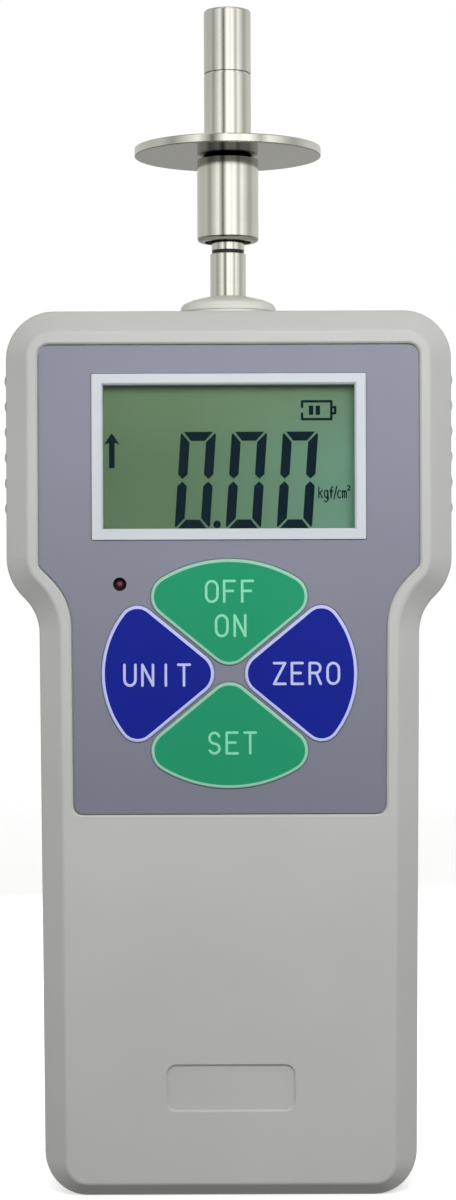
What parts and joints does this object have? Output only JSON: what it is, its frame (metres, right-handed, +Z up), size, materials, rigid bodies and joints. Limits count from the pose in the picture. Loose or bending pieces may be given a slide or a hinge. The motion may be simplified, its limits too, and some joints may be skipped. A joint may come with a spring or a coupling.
{
  "type": "fruit penetrometer",
  "caption": "Handheld digital fruit hardness gauge with a plunger tip, a juice guard disc, a load shaft, a liquid crystal display and a cross of curved keys.",
  "frame": {"origin": "centre of the flat foot of the case", "axes": "+Z up along the load shaft towards the plunger tip, -Y out of the display, +X to the right as the display is read"},
  "size_m": [0.0732, 0.036, 0.1954],
  "materials": {
    "case_plastic": "fine moulded texture, warm light grey",
    "collar_plastic": "turned, paler than the case",
    "overlay_film": "satin printed film, grey violet",
    "frame_white": "satin white",
    "clear_window": "clear acrylic",
    "lcd_glass": "grey green reflective display",
    "backlight": "milky light guide",
    "plated_steel": "tin plated",
    "lamp_red": "tinted lens",
    "dark_plastic": "moulded",
    "board_laminate": "solder resist",
    "plug_plastic": "natural nylon",
    "cell_aluminium": "milled",
    "gauge_film": "amber film",
    "screw_steel": "zinc plated",
    "plate_steel": "zinc plated sheet",
    "cell_jacket": "printed jacket, blank",
    "shrink_film": "shrink tube",
    "washer_rubber": "black, slightly glossy",
    "foam": "closed cell foam",
    "lead_red": "flexible jacket",
    "lead_black": "flexible jacket",
    "lead_grey": "flexible jacket",
    "polished_steel": "turned and polished stainless steel",
    "key_green": "satin moulded key with a pale edge line",
    "key_blue": "satin moulded key with a pale edge line"
  },
  "bodies": {
    "case": {"front_cover": "case_plastic", "rear_cover": "case_plastic", "shaft_collar": "collar_plastic", "panel_overlay": "overlay_film", "display_frame": "frame_white", "display_window": "clear_window", "lcd_panel": "lcd_glass", "lcd_backlight": "backlight", "lcd_pins": "plated_steel", "status_lamp": "lamp_red", "tact_switches": "dark_plastic", "main_board": "board_laminate", "board_screws": "plated_steel", "board_chips": "dark_plastic", "buzzer": "dark_plastic", "board_plugs": "plug_plastic", "load_cell": "cell_aluminium", "strain_gauges": "gauge_film", "cell_screw": "screw_steel", "mounting_plate": "plate_steel", "plate_screws": "screw_steel", "case_screws": "screw_steel", "battery_cells": "cell_jacket", "battery_tabs": "plated_steel", "battery_sleeve": "shrink_film", "foam_pads": "foam", "charge_socket": "dark_plastic", "socket_pin": "plated_steel", "battery_lead": "lead_red", "charge_lead": "lead_black", "sensor_lead": "lead_grey"},
    "shaft": {"load_shaft": "polished_steel", "adapter_washer": "washer_rubber", "probe_adapter": "polished_steel"},
    "guard": {"juice_guard": "polished_steel"},
    "tip": {"probe_tip": "polished_steel"},
    "key_on_off": {"key_on_off": "key_green", "switch_plunger_on_off": "dark_plastic"},
    "key_set": {"key_set": "key_green", "switch_plunger_set": "dark_plastic"},
    "key_unit": {"key_unit": "key_blue", "switch_plunger_unit": "dark_plastic"},
    "key_zero": {"key_zero": "key_blue", "switch_plunger_zero": "dark_plastic"}
  },
  "joints": [
    {"name": "shaft_travel", "type": "slide", "parent": "case", "child": "shaft", "axis": [0, 0, 1], "range_m": [-0.0004, 0], "stiffness_N_per_m": 5000, "deforming": ["load_cell"]},
    {"name": "guard_turn", "type": "hinge", "parent": "shaft", "child": "guard", "pos_m": [0, 0, 0.1708], "axis": [0, 0, 1], "range_deg": [0, 1800]},
    {"name": "tip_unscrew", "type": "slide", "parent": "guard", "child": "tip", "axis": [0, 0, 1], "range_m": [0, 0.004]},
    {"name": "key_on_off_press", "type": "slide", "parent": "case", "child": "key_on_off", "axis": [0, 1, 0], "range_m": [0, 0.0004], "stiffness_N_per_m": 5000},
    {"name": "key_set_press", "type": "slide", "parent": "case", "child": "key_set", "axis": [0, 1, 0], "range_m": [0, 0.0004], "stiffness_N_per_m": 5000},
    {"name": "key_unit_press", "type": "slide", "parent": "case", "child": "key_unit", "axis": [0, 1, 0], "range_m": [0, 0.0004], "stiffness_N_per_m": 5000},
    {"name": "key_zero_press", "type": "slide", "parent": "case", "child": "key_zero", "axis": [0, 1, 0], "range_m": [0, 0.0004], "stiffness_N_per_m": 5000}
  ],
  "couplings": [
    {"joint": "tip_unscrew", "follows": "guard_turn", "m_per_rad": 0.00012732}
  ]
}
